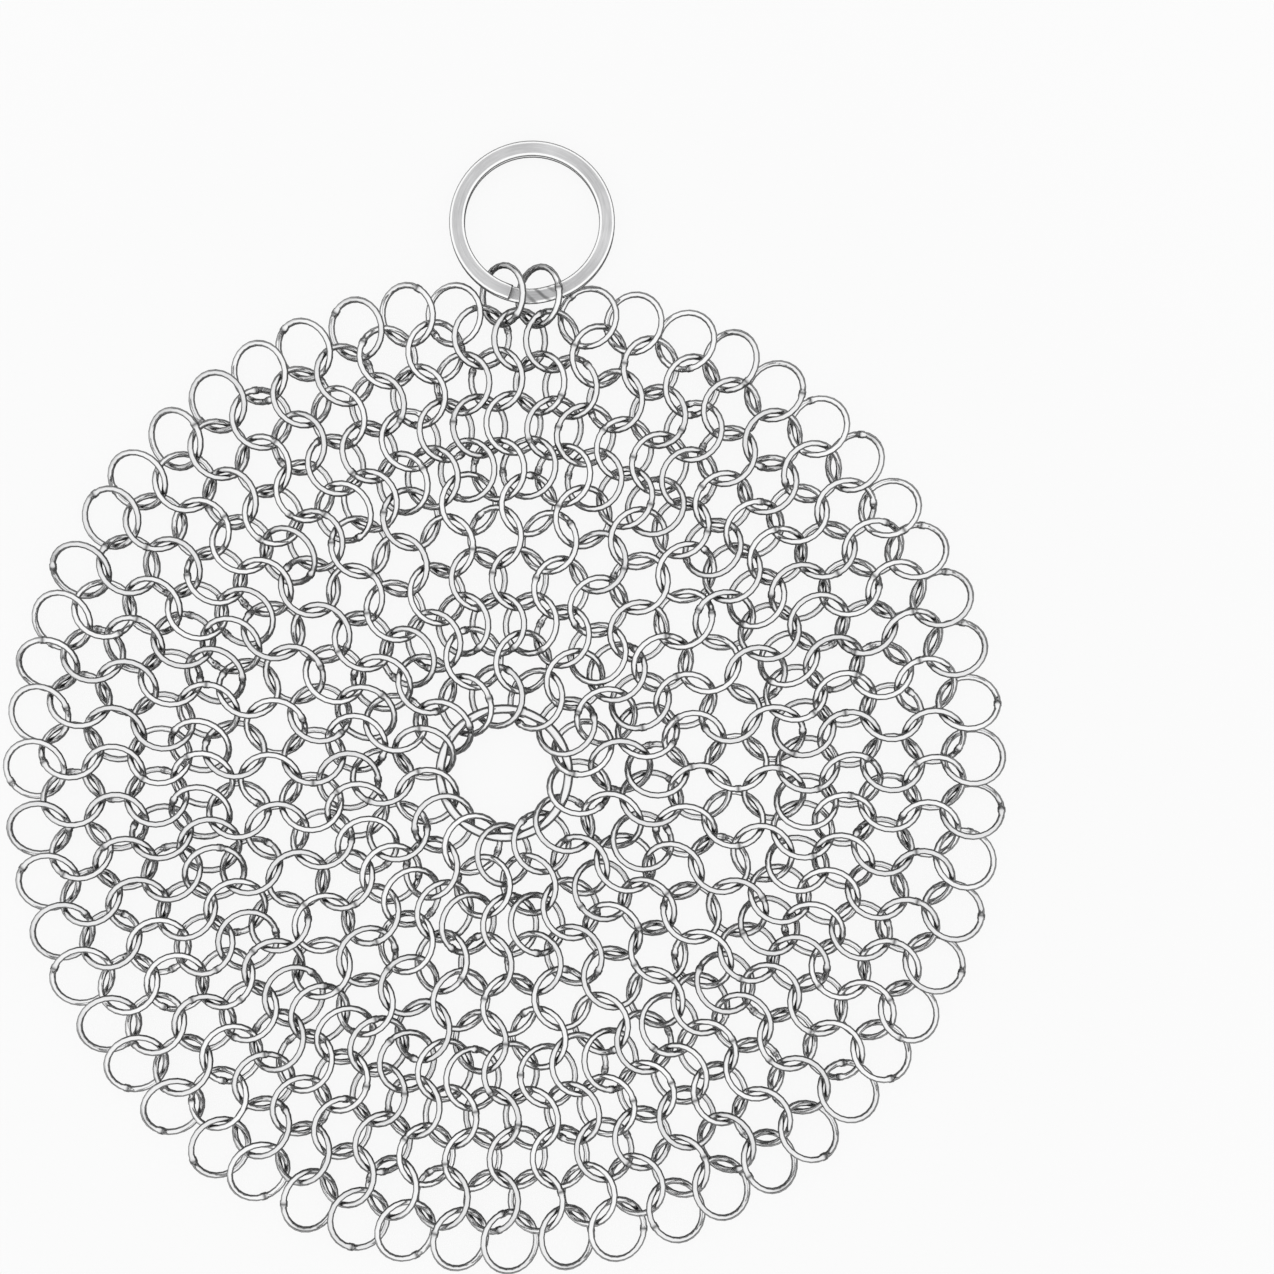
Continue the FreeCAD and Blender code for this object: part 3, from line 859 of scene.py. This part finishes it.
class SCRUBBER_OT_stage(bpy.types.Operator):
    """Set the pale floor, the soft light and the camera over the mail"""

    bl_idname = "scrubber.stage"
    bl_label = "Stage"

    def execute(self, context):
        sizes = context.scene.scrubber_stage
        self.floor(sizes)
        self.world(context.scene, sizes)
        self.lamp(context.scene, sizes)
        self.camera(context.scene, sizes)
        context.scene.view_settings.view_transform = "Standard"
        return {"FINISHED"}

    def floor(self, sizes):
        """A wide floor just under the mail."""
        deselect()
        bpy.ops.mesh.primitive_plane_add(
            size=sizes.floor_size, location=(0, 0, -sizes.floor_drop))
        floor = bpy.context.object
        floor.name = "floor"
        floor.data.materials.append(floor_material(sizes.floor_colour))

    def world(self, scene, sizes):
        """White to the camera, soft light on the object, and dark low down in reflections."""
        world = bpy.data.worlds.new("studio")
        scene.world = world
        world.use_nodes = True
        tree = world.node_tree
        tree.nodes.clear()
        out = add_node(tree, "ShaderNodeOutputWorld")
        soft = add_node(tree, "ShaderNodeBackground")
        soft.inputs["Color"].default_value = (*WHITE, 1)
        soft.inputs["Strength"].default_value = sizes.soft_level
        seen = add_node(tree, "ShaderNodeBackground")
        rays = add_node(tree, "ShaderNodeLightPath").outputs
        way = add_node(tree, "ShaderNodeTexCoord")
        parts = add_node(tree, "ShaderNodeSeparateXYZ")
        link(tree, way.outputs["Generated"], parts.inputs["Vector"])
        # A light card stands low on the left
        high = ramp(tree, parts.outputs["Z"], low=0.22, high=0.50)
        left = ramp(tree, parts.outputs["X"], low=-0.55, high=-0.85, at_high=0.8)
        light = combine(tree, "MAXIMUM", high, left)
        mirrored = mix_colour(tree, light, MIRRORED_LOW, MIRRORED_HIGH)
        white = mix_colour(tree, rays["Is Camera Ray"], mirrored, WHITE)
        link(tree, white, seen.inputs["Color"])
        shown = combine(tree, "MAXIMUM", rays["Is Camera Ray"], rays["Is Glossy Ray"])
        shown = combine(tree, "MAXIMUM", shown, rays["Is Transmission Ray"])
        both = add_node(tree, "ShaderNodeMixShader")
        link(tree, shown, both.inputs[0])
        link(tree, soft.outputs[0], both.inputs[1])
        link(tree, seen.outputs[0], both.inputs[2])
        link(tree, both.outputs[0], out.inputs["Surface"])

    def lamp(self, scene, sizes):
        """One large soft lamp over the mail, which the steel doesn't mirror."""
        data = bpy.data.lights.new("overhead", "AREA")
        data.size = sizes.lamp_size
        data.energy = sizes.lamp_power
        lamp = bpy.data.objects.new("overhead", data)
        place = Vector(sizes.lamp_place)
        lamp.location = place
        lamp.rotation_euler = (-place).to_track_quat("-Z", "Y").to_euler()
        lamp.visible_glossy = False
        scene.collection.objects.link(lamp)

    def camera(self, scene, sizes):
        """Look straight down, with the middle of the mail at its place in the picture."""
        data = bpy.data.cameras.new("camera")
        camera = bpy.data.objects.new("camera", data)
        scene.collection.objects.link(camera)
        scene.camera = camera
        data.sensor_width = SENSOR_WIDTH
        data.lens = SENSOR_WIDTH * sizes.camera_height / sizes.picture_width
        data.clip_start, data.clip_end = CLIP_RANGE
        point = sizes.picture_width / FRAME_POINTS
        across = (FRAME_POINTS / 2 - sizes.disc_point[0]) * point
        up = (sizes.disc_point[1] - FRAME_POINTS / 2) * point
        turn = Matrix.Rotation(sizes.camera_roll, 4, "Z")
        camera.matrix_world = turn @ Matrix.Translation((across, up, sizes.camera_height))


class SCRUBBER_PT_build(bpy.types.Panel):
    """Buttons and sizes of the scrubber"""

    bl_label = "Pot scrubber"
    bl_idname = "SCRUBBER_PT_build"
    bl_space_type = "VIEW_3D"
    bl_region_type = "UI"
    bl_category = "Scrubber"

    def draw(self, context):
        for operator in OPERATORS:
            self.layout.operator(operator.bl_idname)
        for name in SETTINGS:
            box = self.layout.box()
            settings = getattr(context.scene, name)
            for field in settings.bl_rna.properties:
                if not field.is_readonly and field.identifier != "name":
                    box.prop(settings, field.identifier)


OPERATORS = (
    SCRUBBER_OT_mail_rings,
    SCRUBBER_OT_centre_ring,
    SCRUBBER_OT_hang_ring,
    SCRUBBER_OT_stage,
)


def register():
    for kind in (*SETTINGS.values(), *OPERATORS, SCRUBBER_PT_build):
        bpy.utils.register_class(kind)
    for name, kind in SETTINGS.items():
        setattr(bpy.types.Scene, name, bpy.props.PointerProperty(type=kind))


def unregister():
    for name in SETTINGS:
        delattr(bpy.types.Scene, name)
    for kind in (SCRUBBER_PT_build, *reversed(OPERATORS), *reversed(tuple(SETTINGS.values()))):
        bpy.utils.unregister_class(kind)


def main():
    register()
    bpy.ops.scrubber.mail_rings()
    bpy.ops.scrubber.centre_ring()
    bpy.ops.scrubber.hang_ring()
    bpy.ops.scrubber.stage()


if __name__ == "__main__":
    main()
